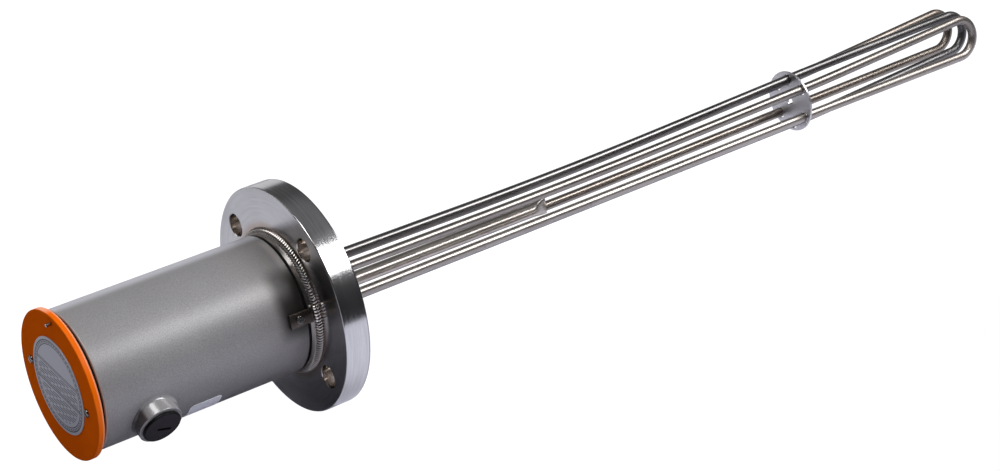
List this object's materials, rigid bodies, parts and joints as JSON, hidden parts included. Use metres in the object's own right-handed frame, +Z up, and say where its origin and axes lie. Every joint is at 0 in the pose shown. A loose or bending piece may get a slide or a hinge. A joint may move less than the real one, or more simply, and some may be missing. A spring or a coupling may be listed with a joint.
{
  "type": "flanged immersion heater",
  "caption": "Flanged immersion heater: hairpin tubular elements and a sensor pocket on a raised-face flange, with a round terminal housing, orange lid and plugged cable entry",
  "frame": {"origin": "centre of the flange's sealing face", "axes": "+X along the heating elements, away from the terminal housing; +Z up"},
  "size_m": [0.9823, 0.1906, 0.1906],
  "materials": {
    "flange_steel": "turned stainless steel, fine turning lines on the rim",
    "weld_metal": "bare weld metal, rippled, tinted by heat",
    "grey_paint": "satin grey paint with a fine speckle",
    "black_rubber": "black gasket rubber",
    "orange_paint": "orange satin powder coat",
    "label_metal": "plain satin metal disc",
    "black_plastic": "black moulded plastic",
    "zinc_steel": "zinc plated steel",
    "bare_steel": "plain stainless steel strip and sheet",
    "sheath_steel": "drawn stainless tube, slightly browned",
    "label_paper": "white paper label",
    "pin_metal": "nickel plated terminal pins and link",
    "white_ceramic": "unglazed white ceramic"
  },
  "bodies": {
    "root": {"blanking_plug": "black_plastic", "boss_weld": "grey_paint", "cable_entry_boss": "grey_paint", "collar": "flange_steel", "collar_weld": "weld_metal", "earth_nuts": "zinc_steel", "earth_stud": "zinc_steel", "earth_washer": "zinc_steel", "element_weld_rings": "weld_metal", "fixing_lug_1": "bare_steel", "fixing_lug_2": "bare_steel", "flange": "flange_steel", "heating_element_back": "sheath_steel", "heating_element_front": "sheath_steel", "heating_element_middle": "sheath_steel", "housing_gasket": "black_rubber", "inspection_sticker": "label_paper", "lid": "orange_paint", "lid_bracket_1": "zinc_steel", "lid_bracket_2": "zinc_steel", "lid_gasket": "black_rubber", "lid_screws": "zinc_steel", "lid_stud": "zinc_steel", "lug_screws": "zinc_steel", "lug_welds": "weld_metal", "nameplate": "label_metal", "plug_seal": "black_rubber", "sensor_pocket": "sheath_steel", "star_link": "pin_metal", "support_plate": "bare_steel", "terminal_housing": "grey_paint", "terminal_insulator_1": "white_ceramic", "terminal_insulator_2": "white_ceramic", "terminal_insulator_3": "white_ceramic", "terminal_insulator_4": "white_ceramic", "terminal_insulator_5": "white_ceramic", "terminal_insulator_6": "white_ceramic", "terminal_nuts": "zinc_steel", "terminal_pin_1": "pin_metal", "terminal_pin_2": "pin_metal", "terminal_pin_3": "pin_metal", "terminal_pin_4": "pin_metal", "terminal_pin_5": "pin_metal", "terminal_pin_6": "pin_metal", "terminal_washers": "zinc_steel"}
  },
  "joints": []
}
